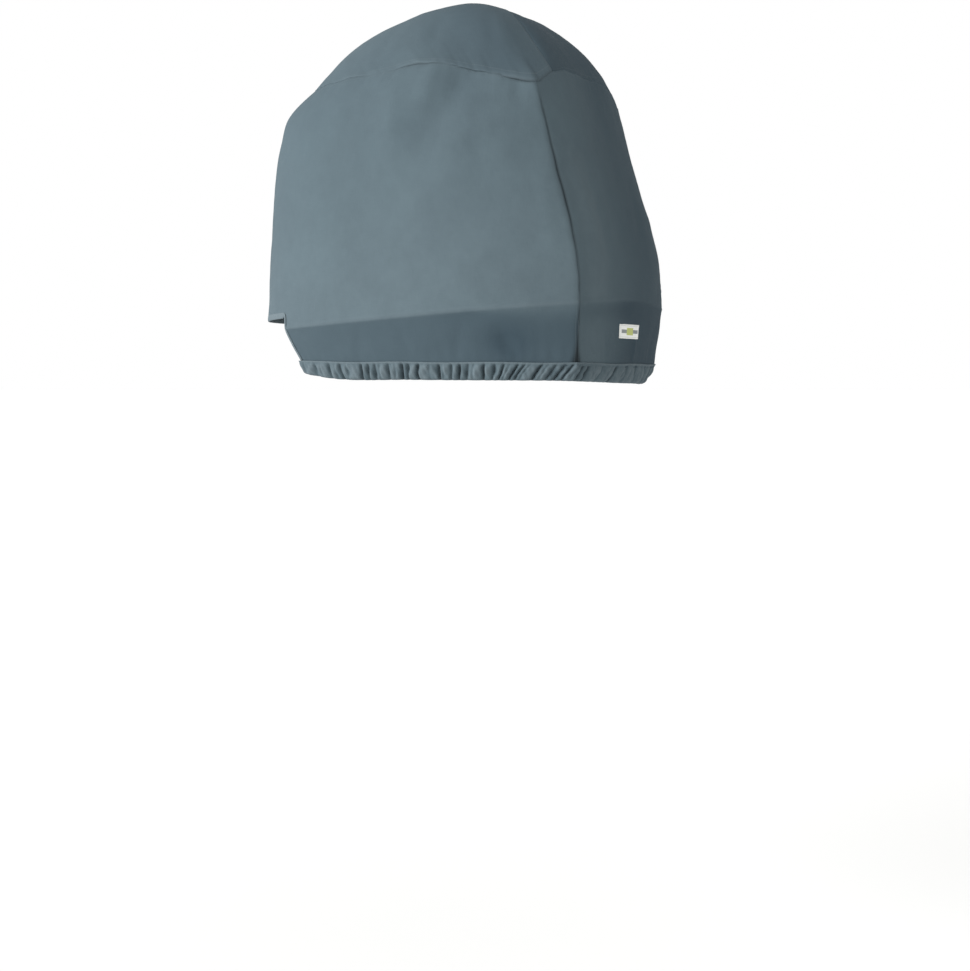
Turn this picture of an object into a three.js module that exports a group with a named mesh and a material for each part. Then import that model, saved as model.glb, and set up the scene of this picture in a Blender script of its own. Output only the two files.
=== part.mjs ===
// Fitted canvas cover for the head of a large outboard motor, in the shape it has when it is on.
// Five cut panels meet along sewn seams: a top panel, a yoke behind it, a back panel and two side
// panels that wrap round to the middle of the front. A gathered casing with elastic in it runs
// round the lower edge, the front is cut away below and bound, and a small label is sewn on the back.
// Units are millimetres. +X points to the stern, -X to the boat, -Y to port and +Z up.
// Heights in the tables count from the casing's lowest point. The group then moves down, so that
// the part's origin is the point under the crown where the cover rests on what it covers.

import * as THREE from "three";
import { mergeVertices } from "three/addons/utils/BufferGeometryUtils.js";

const { lerp, mapLinear } = THREE.MathUtils;

// Cloth and trim
const clothThickness = 2;
const seamGap = 0.4; // between two panels, across a seam
const bindingWidth = 8;
const bindingThickness = 2.6;
const casingThickness = 3;
const casingDrop = 1.4; // below the panels' lower edge
const label = { width: 90, height: 30, thickness: 1, lift: 0.5, middleStation: 29.3, middleZ: 94 };

// The cover in plan at a few heights: how far it reaches forward, its half width where it is
// widest, where the seam at the aft corner stands, and how far the back reaches
const widestX = 20;
const bowFullness = 2.9; // 2 would be an ellipse, more is squarer
const aftTaper = 2.2;
const backFullness = 2.8;
const bowShare = 0.6; // share of the outline's parameter spent forward of the widest place
const levels = [
  { height: 140, front: 398, side: 290, seamX: 348, seamY: 208, back: 369 },
  { height: 250, front: 394, side: 287, seamX: 340, seamY: 209, back: 361 },
  { height: 400, front: 386, side: 276, seamX: 301, seamY: 199, back: 323 },
  { height: 500, front: 374, side: 261, seamX: 274, seamY: 191, back: 296 },
  { height: 560, front: 350, side: 248, seamX: 259, seamY: 191, back: 278 },
  { height: 600, front: 296, side: 232, seamX: 249, seamY: 195, back: 266 },
];
// The same at the casing's two edges, drawn in by its elastic
const casingTop = { front: 380, side: 264, seamX: 336, seamY: 193, back: 355 };
const casingBottom = { front: 372, side: 252, seamX: 322, seamY: 184, back: 339 };

// Stations run round the cover: 0 is the middle of the front, then come port, back and starboard
const notchAt = 7; // aft edge of the part that is cut away
const topCornerAt = 6; // where the top panel's front edge turns into its side edge
const aftSeamAt = 22; // side panel to back panel
const yokeAt = 24; // the yoke's tip
const backMiddleAt = 30;
const stationCount = 2 * backMiddleAt;
const stationPitch = 36; // about, on the sides

// Heights by station: the belt, where the cloth turns in, the seam round the crown, and the casing
const beltHeights = [
  { station: 0, z: 108 },
  { station: 7, z: 112 },
  { station: 14, z: 128 },
  { station: 22, z: 142 },
  { station: 30, z: 158 },
];
const crownSeamHeights = [
  { station: 0, z: 574 },
  { station: 5, z: 577 },
  { station: 8, z: 583 },
  { station: 10, z: 587 },
  { station: 12, z: 589 },
  { station: 14, z: 598 },
  { station: 15.5, z: 600 },
  { station: 17, z: 593 },
  { station: 18.5, z: 581 },
  { station: 20, z: 570 },
  { station: 22, z: 556 },
  { station: 24, z: 578 },
  { station: 30, z: 585 },
];
const casingHeights = [
  { station: 7, top: 40, bottom: 14 },
  { station: 9, top: 38, bottom: 4 },
  { station: 14, top: 36, bottom: 1 },
  { station: 22, top: 34, bottom: 0 },
  { station: 30, top: 33, bottom: 0 },
];
const notchSlant = 0.5; // stations that the notch's edge moves aft on its way down
const notchLift = 30; // from the belt up to the front's lower edge

// Rows of the net that the panels are cut from
const bandRows = 3; // casing to belt
const wallRows = 11; // front's lower edge to crown seam
const yokeRows = 4;

// The line along the middle of the crown, from the top panel's front edge to its back edge
const crownLine = [
  { x: -296, z: 574 },
  { x: -265, z: 626 },
  { x: -218, z: 674 },
  { x: -113, z: 720 },
  { x: -50, z: 739 },
  { x: 0, z: 747 },
  { x: 45, z: 747 },
  { x: 100, z: 730 },
];
const crownFullness = 3.2; // how square the crown is across
const crownSpread = 2.1; // the same for how far its cross lines bow
const edgeRows = 5; // rows over which the front edge's own shape dies out
const yokeBulge = 20;

// Soft hollows of the cloth, and a swelling where the depth is negative
const hollows = [
  { side: -1, x: 62, z: 560, reachX: 48, reachZ: 62, depth: 6 },
  { side: -1, x: 34, z: 462, reachX: 58, reachZ: 80, depth: 5 },
  { side: -1, x: 172, z: 540, reachX: 36, reachZ: 48, depth: 4 },
  { side: -1, x: -28, z: 552, reachX: 40, reachZ: 50, depth: -3 },
  { side: -1, x: 222, z: 62, reachX: 60, reachZ: 26, depth: 4 },
  { side: 1, x: 30, z: 540, reachX: 80, reachZ: 80, depth: 6 },
  { side: 1, x: -150, z: 350, reachX: 90, reachZ: 120, depth: 4 },
  { side: 1, x: 140, z: 70, reachX: 70, reachZ: 28, depth: 4 },
];

// The casing's gathers in turn: how wide each is, how far it stands out and how far it hangs
const gathers = [
  { width: 21, swell: 5.0, hang: 1.0 },
  { width: 17, swell: 3.8, hang: 0.2 },
  { width: 27, swell: 5.8, hang: 1.4 },
  { width: 19, swell: 4.4, hang: 0.4 },
  { width: 24, swell: 5.4, hang: 1.6 },
  { width: 15, swell: 3.4, hang: 0.0 },
  { width: 23, swell: 5.0, hang: 0.8 },
];
const gatherSteps = 4; // columns to each gather
const gatherLean = 10; // how far a gather on the side slants, top to bottom
// How much of the swelling each row takes, from the stitched edge down to the curled lower edge
const casingRows = [
  { down: 0, share: 0 },
  { down: 0.2, share: 0.12 },
  { down: 0.45, share: 1 },
  { down: 0.78, share: 0.9 },
  { down: 1, share: 0.1 },
];

const canvas = { color: 0x6d7d85, roughness: 0.85, metalness: 0 };
const canvasTrim = { color: 0x5f6e76, roughness: 0.85, metalness: 0 };
const wovenLabel = { color: 0xe6e6e0, roughness: 0.6, metalness: 0 };

// A smooth function through one column of a table
function smooth(table, along, column) {
  const at = table.map((row) => row[along]);
  const value = table.map((row) => row[column]);
  const spline = new THREE.CubicInterpolant(at, value, 1);
  return (x) => spline.evaluate(x)[0];
}

const reaches = ["front", "side", "seamX", "seamY", "back"];
const reachCurves = reaches.map((name) => smooth(levels, "height", name));
const beltZ = smooth(beltHeights, "station", "z");
const crownSeamZ = smooth(crownSeamHeights, "station", "z");
const casingTopZ = smooth(casingHeights, "station", "top");
const casingBottomZ = smooth(casingHeights, "station", "bottom");
const lowestLevel = levels[0];
const beltLevel = lowestLevel.height;
const crownLevel = levels[levels.length - 1].height;

function levelAt(height) {
  return Object.fromEntries(reaches.map((name, i) => [name, reachCurves[i](height)]));
}

function mixLevels(a, b, share) {
  return Object.fromEntries(reaches.map((name) => [name, lerp(a[name], b[name], share)]));
}

// Half of a plan outline, from the middle of the front down the port side to the aft seam
class PortOutline extends THREE.Curve {
  constructor(level) {
    super();
    this.level = level;
    this.arcLengthDivisions = 600;
  }
  getPoint(t, target = new THREE.Vector3()) {
    const { front, side, seamX, seamY } = this.level;
    if (t < bowShare) {
      const angle = ((t / bowShare) * Math.PI) / 2;
      const power = 2 / bowFullness;
      const x = widestX - (front + widestX) * Math.cos(angle) ** power;
      return target.set(x, -side * Math.sin(angle) ** power, 0);
    }
    const aft = (t - bowShare) / (1 - bowShare);
    const y = side - (side - seamY) * aft ** aftTaper;
    return target.set(lerp(widestX, seamX, aft), -y, 0);
  }
}

const portTwin = (station) => Math.min(station, stationCount - station);

// Where each station stands in plan at one level
function planOf(level) {
  const outline = new PortOutline(level);
  return (station) => {
    const twin = portTwin(station);
    let point;
    if (twin <= aftSeamAt) {
      point = outline.getPointAt(twin / aftSeamAt);
    } else {
      const across = (backMiddleAt - twin) / (backMiddleAt - aftSeamAt);
      const x = lerp(level.back, level.seamX, across ** backFullness);
      point = new THREE.Vector3(x, -level.seamY * across, 0);
    }
    if (station > backMiddleAt) point.y *= -1;
    return point;
  };
}

function dented(point) {
  for (const { side, x, z, reachX, reachZ, depth } of hollows) {
    if (Math.sign(point.y) !== side) continue;
    const far = ((point.x - x) / reachX) ** 2 + ((point.z - z) / reachZ) ** 2;
    point.y -= side * depth * Math.exp(-far);
  }
  return point;
}

const everyStation = (make) => Array.from({ length: stationCount }, (_, station) => make(station));

// A row above the belt: share 0 is the belt and 1 the crown seam
function wallRow(share) {
  const plan = planOf(levelAt(lerp(beltLevel, crownLevel, share)));
  return everyStation((station) => {
    const twin = portTwin(station);
    return dented(plan(station).setZ(lerp(beltZ(twin), crownSeamZ(twin), share)));
  });
}

// A place on the band below the belt: share 0 is the casing's top edge and 1 the belt
function bandPlace(share) {
  const plan = planOf(mixLevels(casingTop, lowestLevel, share));
  const start = notchAt + notchSlant * (1 - share);
  return (station) => {
    const twin = portTwin(station);
    const moved = twin < aftSeamAt ? mapLinear(twin, notchAt, aftSeamAt, start, aftSeamAt) : twin;
    const z = lerp(casingTopZ(twin), beltZ(twin), share);
    return dented(plan(station > backMiddleAt ? stationCount - moved : moved).setZ(z));
  };
}

// The net of the walls, bottom row first. Below the notch's row it has no points in front.
const wallNet = [];
for (let i = 0; i < bandRows; i++) {
  const placeAt = bandPlace(i / bandRows);
  wallNet.push(everyStation((station) => (portTwin(station) < notchAt ? null : placeAt(station))));
}
wallNet.push(wallRow(0));
const notchRow = wallNet.length;
for (let i = 0; i <= wallRows; i++) {
  wallNet.push(wallRow(lerp(notchLift / (crownLevel - beltLevel), 1, i / wallRows)));
}
const crownSeam = wallNet[wallNet.length - 1];

// The net of the top panel. Its rows run across from port to starboard, and the first one is the
// front stretch of the crown seam.
const topColumns = 2 * topCornerAt;
const topRows = yokeAt - topCornerAt;
const crown = new THREE.CatmullRomCurve3(crownLine.map(({ x, z }) => new THREE.Vector3(x, 0, z)));
const frontEdge = Array.from(
  { length: topColumns + 1 },
  (_, i) => crownSeam[(topCornerAt - i + stationCount) % stationCount],
);

function topRow(row) {
  const ends = { port: crownSeam[topCornerAt + row], starboard: crownSeam[stationCount - topCornerAt - row] };
  const middle = crown.getPointAt(row / topRows);
  const settled = THREE.MathUtils.smoothstep(row, 0, edgeRows);
  return frontEdge.map((edge, i) => {
    if (i === 0) return ends.port;
    if (i === topColumns) return ends.starboard;
    if (row === 0) return edge;
    const across = 1 - (2 * i) / topColumns; // 1 at port, -1 at starboard
    const corner = frontEdge[0];
    const edgeBow = (edge.x - corner.x) / (frontEdge[topCornerAt].x - corner.x);
    const bow = lerp(edgeBow, 1 - Math.abs(across) ** crownSpread, settled);
    const rise = lerp(edgeBow, 1 - Math.abs(across) ** crownFullness, settled);
    const end = across > 0 ? ends.port : ends.starboard;
    const y = Math.abs(end.y) * lerp(edge.y / corner.y, across, settled);
    return new THREE.Vector3(lerp(end.x, middle.x, bow), -y, lerp(end.z, middle.z, rise));
  });
}

const topNet = Array.from({ length: topRows + 1 }, (_, row) => topRow(row));

// The net of the yoke, from the crown seam at the back up to the top panel's back edge
const backEdge = topNet[topRows];
const yokeSwelling = new THREE.Vector3(0.6, 0, 0.8);

function yokeRow(row) {
  return backEdge.map((top, i) => {
    if (i === 0 || i === topColumns || row === yokeRows) return top;
    const low = crownSeam[yokeAt + i];
    if (row === 0) return low;
    const share = row / yokeRows;
    const across = 1 - (2 * i) / topColumns;
    const bulge = yokeBulge * 4 * share * (1 - share) * (1 - across * across);
    return low.clone().lerp(top, share).addScaledVector(yokeSwelling, bulge);
  });
}

const yokeNet = Array.from({ length: yokeRows + 1 }, (_, row) => yokeRow(row));

// The quads of a stretch of a net. Neighbouring panels share their points.
function quadsOf(net, from, to, keep = () => true) {
  const quads = [];
  for (let row = 0; row + 1 < net.length; row++) {
    for (let column = from; column < to; column++) {
      if (!keep(row, column)) continue;
      const a = column % net[row].length;
      const b = (column + 1) % net[row].length;
      quads.push([net[row][a], net[row][b], net[row + 1][b], net[row + 1][a]]);
    }
  }
  return quads;
}

const mirrored = (station) => stationCount - station;
const panels = {
  side_panel_port: quadsOf(wallNet, 0, aftSeamAt, (row, s) => row >= notchRow || s >= notchAt),
  side_panel_starboard: quadsOf(
    wallNet,
    mirrored(aftSeamAt),
    stationCount,
    (row, s) => row >= notchRow || s < mirrored(notchAt),
  ),
  back_panel: quadsOf(wallNet, aftSeamAt, mirrored(aftSeamAt)),
  top_panel: quadsOf(topNet, 0, topColumns).map((quad) => quad.reverse()),
  back_yoke: quadsOf(yokeNet, 0, topColumns),
};

// One outward direction for each point, shared by all the quads round it
const outwards = new Map();

function learnOutwards(quads) {
  const found = new Map();
  for (const quad of quads) {
    const rise = quad[2].clone().sub(quad[0]);
    const normal = rise.cross(quad[3].clone().sub(quad[1]));
    for (const point of new Set(quad)) {
      if (!found.has(point)) found.set(point, new THREE.Vector3());
      found.get(point).add(normal);
    }
  }
  for (const [point, normal] of found) outwards.set(point, normal.normalize());
}

learnOutwards(Object.values(panels).flat());

// The binding round the cut away front. It continues the panels' edge into the opening.
function bindingQuads() {
  const along = [];
  const addPlace = (row, station, inner) => {
    const edge = wallNet[row][station % stationCount];
    const away = new THREE.Vector3();
    for (const [innerRow, innerStation] of inner) {
      const neighbour = wallNet[innerRow][innerStation % stationCount];
      away.add(edge.clone().sub(neighbour).normalize());
    }
    const free = edge.clone().addScaledVector(away, bindingWidth);
    outwards.set(free, outwards.get(edge));
    along.push([edge, free]);
  };
  for (let row = 0; row < notchRow; row++) addPlace(row, notchAt, [[row, notchAt + 1]]);
  addPlace(notchRow, notchAt, [[notchRow, notchAt + 1], [notchRow + 1, notchAt]]);
  for (let i = 1; i < 2 * notchAt; i++) {
    const station = notchAt - i + stationCount;
    addPlace(notchRow, station, [[notchRow + 1, station]]);
  }
  const last = mirrored(notchAt);
  addPlace(notchRow, last, [[notchRow, last - 1], [notchRow + 1, last]]);
  for (let row = notchRow - 1; row >= 0; row--) addPlace(row, last, [[row, last - 1]]);
  return along.slice(1).map(([edge, free], i) => {
    const [edgeBefore, freeBefore] = along[i];
    return [edgeBefore, edge, free, freeBefore];
  });
}

// Walks along the casing from its port end to its starboard end, as a station for each distance
function stationByDistance(from, to) {
  const plan = planOf(casingTop);
  const step = 0.1;
  const walked = [{ distance: 0, station: from }];
  for (let station = from + step; station < to; station += step) {
    const before = walked[walked.length - 1];
    const distance = before.distance + plan(station).distanceTo(plan(before.station));
    walked.push({ distance, station });
  }
  const length = walked[walked.length - 1].distance;
  const curve = new THREE.LinearInterpolant(
    walked.map((place) => place.distance),
    walked.map((place) => place.station),
    1,
  );
  return { length, stationAt: (distance) => curve.evaluate(distance)[0] };
}

// The columns of the casing: where each is, how far it stands out and hangs
function casingColumns(length) {
  const columns = [];
  let walked = 0;
  for (let i = 0; walked < length; i++) {
    const { width, swell, hang } = gathers[i % gathers.length];
    const end = walked + 1.5 * width < length ? walked + width : length; // the last one fills up
    for (let step = 0; step < gatherSteps; step++) {
      const share = step / gatherSteps;
      const crest = Math.sin(share * Math.PI);
      columns.push({ distance: lerp(walked, end, share), swell: swell * crest, hang: hang * crest });
    }
    walked = end;
  }
  columns.push({ distance: length, swell: 0, hang: 0 });
  return columns;
}

function casingQuads() {
  const start = notchAt + notchSlant - bindingWidth / stationPitch;
  const besideIt = 0.2; // stations to each side, for the direction along the casing
  const { length, stationAt } = stationByDistance(start, stationCount - start);
  const columns = casingColumns(length);
  const net = casingRows.map(({ down, share }) => {
    const plan = planOf(mixLevels(casingTop, casingBottom, down));
    return columns.map(({ distance, swell, hang }) => {
      // the gathers slant along the sides, and stand straight at the ends and at the back's middle
      const slant = gatherLean * Math.sin((2 * Math.PI * distance) / length);
      const station = stationAt(distance - slant * down);
      const twin = portTwin(station);
      const point = plan(station);
      const ahead = plan(station + besideIt).sub(plan(station - besideIt));
      const out = new THREE.Vector3(ahead.y, -ahead.x, 0).normalize();
      const top = casingTopZ(twin) - casingDrop;
      const z = lerp(top, casingBottomZ(twin) - hang * share, down);
      return point.addScaledVector(out, swell * share).setZ(z);
    });
  });
  const quads = quadsOf(net.reverse(), 0, columns.length - 1);
  learnOutwards(quads);
  return quads;
}

// The label's own small net on the back panel, below the belt
function labelQuads() {
  const columns = 6;
  const rows = 2;
  const stationWidth = casingTop.seamY / (backMiddleAt - aftSeamAt);
  const top = beltZ(label.middleStation);
  const bottom = casingTopZ(label.middleStation);
  const net = Array.from({ length: rows + 1 }, (_, row) => {
    const z = label.middleZ + label.height * (row / rows - 0.5);
    const placeAt = bandPlace(mapLinear(z, bottom, top, 0, 1));
    return Array.from({ length: columns + 1 }, (_, column) => {
      const along = (label.width / stationWidth) * (column / columns - 0.5);
      return placeAt(label.middleStation + along).setZ(z);
    });
  });
  const quads = quadsOf(net, 0, columns);
  learnOutwards(quads);
  return quads;
}

// Splits a quad into two triangles, or into one where two of its corners are the same point
function trianglesOf([a, b, c, d]) {
  const both = [[a, b, c], [a, c, d]];
  return both.filter(([p, q, r]) => p !== q && q !== r && r !== p);
}

function geometryOf(triangles) {
  const numbers = triangles.flat().flatMap((point) => point.toArray());
  const geometry = new THREE.BufferGeometry();
  geometry.setAttribute("position", new THREE.Float32BufferAttribute(numbers, 3));
  const merged = mergeVertices(geometry, 1e-4);
  merged.computeVertexNormals();
  return merged;
}

// The free edges of a list of quads, each with the middle of the quad that it belongs to
function freeEdges(quads) {
  const edges = new Map();
  for (const quad of quads) {
    const middle = new THREE.Vector3();
    for (const point of quad) middle.addScaledVector(point, 1 / quad.length);
    quad.forEach((from, i) => {
      const to = quad[(i + 1) % quad.length];
      if (from === to) return;
      if (edges.get(to)?.has(from)) {
        edges.get(to).delete(from);
        return;
      }
      if (!edges.has(from)) edges.set(from, new Map());
      edges.get(from).set(to, middle);
    });
  }
  return [...edges].flatMap(([from, ends]) => [...ends].map(([to, middle]) => ({ from, to, middle })));
}

// A sheet of the given thickness over a list of quads, drawn in at its edges by half a seam gap
function sheetOver(quads, thickness, lift = 0) {
  const edges = freeEdges(quads);
  const inwards = new Map();
  for (const { from, to, middle } of edges) {
    const along = to.clone().sub(from).normalize();
    const into = middle.clone().sub(from);
    into.addScaledVector(along, -into.dot(along)).normalize();
    for (const point of [from, to]) {
      if (!inwards.has(point)) inwards.set(point, new THREE.Vector3());
      inwards.get(point).add(into);
    }
  }
  const skinAt = (height) => {
    const made = new Map();
    return (point) => {
      if (!made.has(point)) {
        const moved = point.clone().addScaledVector(outwards.get(point), height);
        const into = inwards.get(point);
        if (into) moved.addScaledVector(into.clone().normalize(), seamGap / 2);
        made.set(point, moved);
      }
      return made.get(point);
    };
  };
  const outer = skinAt(lift + thickness / 2);
  const inner = skinAt(lift - thickness / 2);
  const triangles = quads.flatMap((quad) => {
    const corners = trianglesOf(quad);
    const outside = corners.map((triangle) => triangle.map(outer));
    const inside = corners.map((triangle) => triangle.map(inner).reverse());
    return [...outside, ...inside];
  });
  for (const { from, to } of edges) {
    triangles.push(...trianglesOf([outer(from), inner(from), inner(to), outer(to)]));
  }
  return geometryOf(triangles);
}

const cover = new THREE.Group();

function addPiece(name, geometry, look) {
  const mesh = new THREE.Mesh(geometry, new THREE.MeshStandardMaterial(look));
  mesh.name = name;
  cover.add(mesh);
}

for (const [name, quads] of Object.entries(panels)) addPiece(name, sheetOver(quads, clothThickness), canvas);
addPiece("hem_casing", sheetOver(casingQuads(), casingThickness), canvasTrim);
addPiece("notch_binding", sheetOver(bindingQuads(), bindingThickness), canvasTrim);
const labelRise = (clothThickness + label.thickness) / 2 + label.lift;
addPiece("back_label", sheetOver(labelQuads(), label.thickness, labelRise), wovenLabel);

const crownMiddle = crownLine.find(({ x }) => x === 0);
cover.position.z = clothThickness / 2 - crownMiddle.z;

export default cover;
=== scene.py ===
import math

import bmesh
import bpy
import numpy as np
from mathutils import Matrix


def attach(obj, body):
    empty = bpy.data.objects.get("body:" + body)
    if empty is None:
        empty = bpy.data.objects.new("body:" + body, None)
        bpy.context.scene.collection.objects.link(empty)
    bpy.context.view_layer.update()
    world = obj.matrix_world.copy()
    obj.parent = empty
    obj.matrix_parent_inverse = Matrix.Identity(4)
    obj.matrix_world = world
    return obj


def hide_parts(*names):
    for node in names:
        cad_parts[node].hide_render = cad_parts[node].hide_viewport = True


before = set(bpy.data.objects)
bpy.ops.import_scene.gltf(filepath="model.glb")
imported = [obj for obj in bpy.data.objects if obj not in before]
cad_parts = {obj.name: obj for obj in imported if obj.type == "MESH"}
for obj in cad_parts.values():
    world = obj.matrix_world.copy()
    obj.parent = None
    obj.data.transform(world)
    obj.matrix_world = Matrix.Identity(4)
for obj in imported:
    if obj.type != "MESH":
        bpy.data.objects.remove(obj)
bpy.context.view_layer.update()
body = "root"
milli = 0.001
crownHeight = 746.0


def table(columns, *rows):
    # the rows of a table, each as a dictionary with the columns' names
    names = columns.split()
    return [dict(zip(names, row)) for row in rows]


# The form: plan outlines at a few heights, and the heights of the seams round the cover
levels = {
    "height": [140, 250, 400, 500, 560, 600],
    "front": [398, 394, 386, 374, 350, 296],
    "side": [290, 287, 276, 261, 248, 232],
    "seamX": [348, 340, 301, 274, 259, 249],
    "seamY": [208, 209, 199, 191, 191, 195],
    "back": [369, 361, 323, 296, 278, 266],
}
casingTop = {"front": 380, "side": 264, "seamX": 336, "seamY": 193, "back": 355}
casingBottom = {"front": 372, "side": 252, "seamX": 322, "seamY": 184, "back": 339}
belt = {"station": [0, 7, 14, 22, 30], "height": [98, 102, 121, 143, 158]}
crownSeam = {
    "station": [0, 5, 8, 10, 12, 14, 15.5, 17, 18.5, 20, 22, 24, 30],
    "height": [574, 577, 583, 587, 589, 598, 600, 593, 581, 570, 556, 578, 585],
    "straightUntil": 3.0,
    "waves": table("high turn phase", (0.7, 2.7, 0.4), (0.4, 6.1, 0.0)),
}
aftSeamWander = {"reach": 0.7, "waves": table("high length phase", (0.014, 23.0, 0.0), (0.010, 9.3, 1.0))}
casingEdges = {"station": [7, 9, 14, 22, 30], "top": [40, 38, 36, 34, 33], "bottom": [14, 4, 1, -1, -6]}
crownLine = {
    "x": [-296, -265, -218, -113, -50, 0, 45, 100],
    "height": [574, 626, 674, 720, 739, 747, 747, 730],
}
outline = {"widestX": 20, "bowFullness": 2.9, "bowShare": 0.6, "aftTaper": 2.2, "backFullness": 2.8}
outlineSteps = 1201
# Stations count from the middle of the front to port, round the back and on along the starboard side
topCorner, notchStation, aftSeam, yokeStation, backMiddle, allStations = 6, 7, 22, 24, 30, 60
sidePitch = 36.0  # mm from station to station on a side panel's pattern
notch = {"slant": 0.33, "lift": 27.0}
crown = {"fullness": 3.2, "spread": 2.1, "edgeRows": 5.0, "yokeBulge": 20.0, "yokeWay": (0.6, 0.0, 0.8)}
bandLength = 96.0  # from the belt down to the casing, about
wallLength = 460.0  # from the belt up to the crown seam, about
hemOverlap = 7.0  # how far the panels reach down behind the casing

# Large soft hollows of the cloth, and a swelling where the depth is negative
hollows = table(
    "side x z reachX reachZ depth",
    (-1, 112, 560, 52, 62, 6),
    (-1, 62, 462, 58, 80, 5),
    (-1, 172, 540, 36, 48, 4),
    (-1, -28, 552, 40, 50, -3),
    (-1, 222, 62, 60, 26, 4),
    (1, 30, 540, 80, 80, 6),
    (1, -150, 350, 90, 120, 4),
    (1, 140, 70, 70, 28, 4),
)


def mix(first, second, share):
    return first + (second - first) * share


def unit(value):
    return np.clip(value, 0.0, 1.0)


def unitWay(way):
    return way / np.linalg.norm(way, axis=-1, keepdims=True)


def bell(far, reach):
    return np.exp(-((far / reach) ** 2))


def eased(share):
    # from 0 to 1, with a soft start and a soft end
    share = unit(share)
    return share * share * (3.0 - 2.0 * share)


def between(first, last, leaving, arriving, span, t):
    # a smooth way from first to last, by its slopes at both
    go = 3 * t**2 - 2 * t**3
    bend = leaving * (t**3 - 2 * t**2 + t) + arriving * (t**3 - t**2)
    return first * (1 - go) + last * go + span * bend


def smooth(at, value):
    # a smooth curve through one column of a table
    at, value = np.array(at, float), np.array(value, float)
    step = np.diff(at)
    slope = np.diff(value) / step
    inner = (step[1:] * slope[:-1] + step[:-1] * slope[1:]) / (step[1:] + step[:-1])
    first, last = 1.5 * slope[0] - 0.5 * inner[0], 1.5 * slope[-1] - 0.5 * inner[-1]
    tangent = np.concatenate(([first], inner, [last]))

    def curve(x):
        x = np.clip(np.asarray(x, float), at[0], at[-1])
        i = np.clip(np.searchsorted(at, x) - 1, 0, len(step) - 1)
        t = (x - at[i]) / step[i]
        return between(value[i], value[i + 1], tangent[i], tangent[i + 1], step[i], t)

    return curve


def twinOf(station):
    # the port station at the same place along the cover
    return np.abs(np.mod(station + backMiddle, allStations) - backMiddle)


def softTwin(station, reach=3.0):
    # the same, rounded off where the two halves meet at the back
    fromBack = backMiddle - twinOf(station)
    rounded = (fromBack**2 + reach**2) / (2 * reach)
    return backMiddle - np.where(fromBack < reach, rounded, fromBack)


def sideSign(station):
    # 1 on the port stations, -1 on the starboard ones
    return np.where(np.mod(station, allStations) < backMiddle, 1.0, -1.0)


reachNames = ["front", "side", "seamX", "seamY", "back"]
reachCurves = {name: smooth(levels["height"], levels[name]) for name in reachNames}
beltLine = smooth(belt["station"], belt["height"])
crownSeamLine = smooth(crownSeam["station"], crownSeam["height"])
casingTopLine = smooth(casingEdges["station"], casingEdges["top"])
casingBottomLine = smooth(casingEdges["station"], casingEdges["bottom"])
beltLevel, crownLevel = levels["height"][0], levels["height"][-1]


def crownSeamHeight(station):
    twin = twinOf(station)
    wander = sum(wave["high"] * np.sin(twin * wave["turn"] + wave["phase"]) for wave in crownSeam["waves"])
    return crownSeamLine(softTwin(station)) + wander * np.minimum(twin / crownSeam["straightUntil"], 1.0)


def reachAt(height):
    return {name: float(reachCurves[name](height)) for name in reachNames}


def mixReach(first, second, share):
    return {name: mix(first[name], second[name], share) for name in reachNames}


def planPlaces(reach, station):
    # where stations stand in plan: on the sides by their share of the outline's length
    t = np.linspace(0.0, 1.0, outlineSteps)
    bow = unit(t / outline["bowShare"]) * math.pi / 2
    aft = unit((t - outline["bowShare"]) / (1.0 - outline["bowShare"]))
    power = 2.0 / outline["bowFullness"]
    inBow = t < outline["bowShare"]
    bowX = outline["widestX"] - (reach["front"] + outline["widestX"]) * np.cos(bow) ** power
    x = np.where(inBow, bowX, mix(outline["widestX"], reach["seamX"], aft))
    taper = reach["side"] - (reach["side"] - reach["seamY"]) * aft ** outline["aftTaper"]
    y = np.where(inBow, reach["side"] * np.sin(bow) ** power, taper)
    walked = np.concatenate(([0.0], np.cumsum(np.hypot(np.diff(x), np.diff(y)))))
    twin = twinOf(station)
    along = twin / aftSeam * walked[-1]
    across = (backMiddle - twin) / (backMiddle - aftSeam)
    onSide = twin <= aftSeam
    backX = mix(reach["back"], reach["seamX"], across ** outline["backFullness"])
    placeX = np.where(onSide, np.interp(along, walked, x), backX)
    placeY = np.where(onSide, np.interp(along, walked, y), reach["seamY"] * across)
    return placeX, -placeY * sideSign(station)


def dented(places):
    for hollow in hollows:
        farX = (places[..., 0] - hollow["x"]) / hollow["reachX"]
        farZ = (places[..., 2] - hollow["z"]) / hollow["reachZ"]
        onSide = np.sign(places[..., 1]) == hollow["side"]
        inwards = hollow["side"] * hollow["depth"]
        places[..., 1] -= inwards * np.exp(-(farX**2) - farZ**2) * onSide
    return places


def placesAt(x, y, height):
    return np.stack(np.broadcast_arrays(x, y, height), axis=-1)


def wallPlaces(station, rise):
    # one row of the walls, by its rise in mm along the cloth, up or down from the belt
    twin, soft = twinOf(station), softTwin(station)
    if rise >= 0.0:
        share = rise / wallLength
        reach = reachAt(mix(beltLevel, crownLevel, share))
        height = mix(beltLine(soft), crownSeamHeight(station), share)
        shift = 0.0
    else:
        share = 1.0 + rise / bandLength
        reach = mixReach(casingTop, reachAt(beltLevel), share)
        height = mix(casingTopLine(soft), beltLine(soft), share)
        fromSeam = np.maximum(aftSeam - twin, 0.0) / (aftSeam - notchStation)
        shift = fromSeam * notch["slant"] * (1.0 - share)
    bends = aftSeamWander["waves"]
    wander = sum(bend["high"] * np.sin(height / bend["length"] + bend["phase"]) for bend in bends)
    shift = shift + wander * bell(twin - aftSeam, aftSeamWander["reach"])
    x, y = planPlaces(reach, station + shift * sideSign(station))
    return dented(placesAt(x, y, height))


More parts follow.
